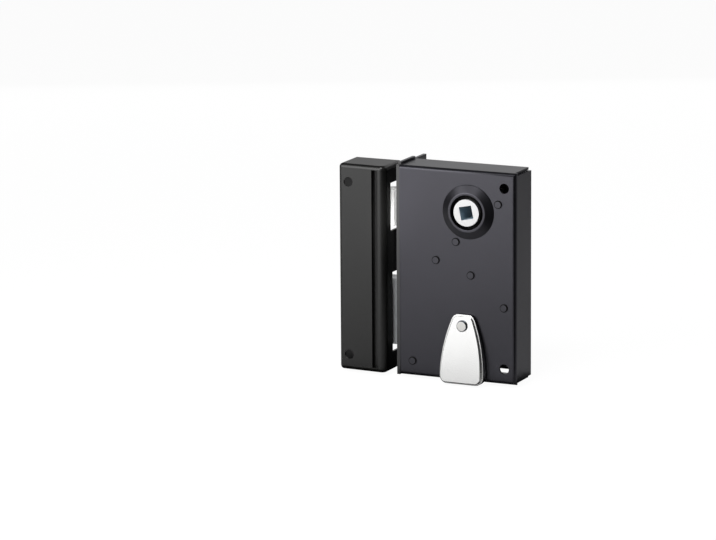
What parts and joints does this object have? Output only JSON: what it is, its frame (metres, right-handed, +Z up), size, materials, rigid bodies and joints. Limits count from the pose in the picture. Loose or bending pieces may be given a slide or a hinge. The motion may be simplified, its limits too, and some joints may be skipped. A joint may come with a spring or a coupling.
{
  "type": "rim box lock",
  "caption": "Rim box lock for a door's face: folded black case with a square follower, sprung latch, lever dead bolt and keyhole flap, beside its box keep.",
  "frame": {"origin": "middle of the back cover's outer face, on the face of the door", "axes": "+X from the keep towards the far side of the case, +Y into the door, +Z up"},
  "size_m": [0.1167, 0.0483, 0.1325],
  "materials": {
    "black_paint": "satin black stoved paint on folded steel",
    "zinc_plate": "bright zinc plating on steel",
    "bright_zinc": "bare bright zinc casting",
    "nickel_plate": "satin nickel plating on pressed steel",
    "rivet_steel": "plain steel rivet",
    "lever_brass": "stamped brass",
    "spring_steel": "spring steel"
  },
  "bodies": {
    "lock_case": {"case": "black_paint", "keep_shell": "black_paint", "keep_top_cap": "black_paint", "keep_bottom_cap": "black_paint", "follower_collar": "black_paint", "back_cover": "zinc_plate", "cover_screws": "zinc_plate", "flap_washer": "zinc_plate", "flap_rivet": "rivet_steel", "latch_spring": "spring_steel", "lever_spring": "spring_steel", "top_post": "black_paint", "spring_post": "black_paint", "latch_spring_post": "black_paint", "guide_post": "black_paint", "lever_post": "black_paint", "bottom_post": "black_paint"},
    "follower": {"follower": "bright_zinc"},
    "latch": {"latch": "bright_zinc"},
    "dead_bolt": {"dead_bolt": "zinc_plate", "bolt_stump": "lever_brass"},
    "flap": {"flap": "nickel_plate"},
    "lever_1": {"lever_1": "lever_brass"},
    "lever_2": {"lever_2": "lever_brass"},
    "lever_3": {"lever_3": "lever_brass"},
    "lever_4": {"lever_4": "lever_brass"}
  },
  "joints": [
    {"name": "follower_turn", "type": "hinge", "parent": "lock_case", "child": "follower", "pos_m": [0.008, -0.012, 0.0395], "axis": [0, 1, 0], "range_deg": [0, 40], "stiffness_Nm_per_rad": 0.1, "springref_deg": -28.65},
    {"name": "latch_slide", "type": "slide", "parent": "lock_case", "child": "latch", "axis": [1, 0, 0], "range_m": [0, 0.0121], "deforming": ["latch_spring"]},
    {"name": "bolt_slide", "type": "slide", "parent": "lock_case", "child": "dead_bolt", "axis": [1, 0, 0], "range_m": [0, 0.016]},
    {"name": "flap_swing", "type": "hinge", "parent": "lock_case", "child": "flap", "pos_m": [0.0055, -0.026, -0.0302], "axis": [0, 1, 0], "range_deg": [-180, 180]},
    {"name": "lever_1_lift", "type": "hinge", "parent": "lock_case", "child": "lever_1", "pos_m": [0.0313, -0.012, -0.0177], "axis": [0, 1, 0], "range_deg": [-8, 0], "stiffness_Nm_per_rad": 0.02, "springref_deg": -34.38},
    {"name": "lever_2_lift", "type": "hinge", "parent": "lock_case", "child": "lever_2", "pos_m": [0.0313, -0.012, -0.0177], "axis": [0, 1, 0], "range_deg": [-8, 0], "stiffness_Nm_per_rad": 0.02, "springref_deg": -34.38},
    {"name": "lever_3_lift", "type": "hinge", "parent": "lock_case", "child": "lever_3", "pos_m": [0.0313, -0.012, -0.0177], "axis": [0, 1, 0], "range_deg": [-8, 0], "stiffness_Nm_per_rad": 0.02, "springref_deg": -34.38},
    {"name": "lever_4_lift", "type": "hinge", "parent": "lock_case", "child": "lever_4", "pos_m": [0.0313, -0.012, -0.0177], "axis": [0, 1, 0], "range_deg": [-8, 0], "stiffness_Nm_per_rad": 0.02, "springref_deg": -34.38}
  ],
  "couplings": [
    {"joint": "latch_slide", "follows": "follower_turn", "m_per_rad": 0.017189}
  ]
}
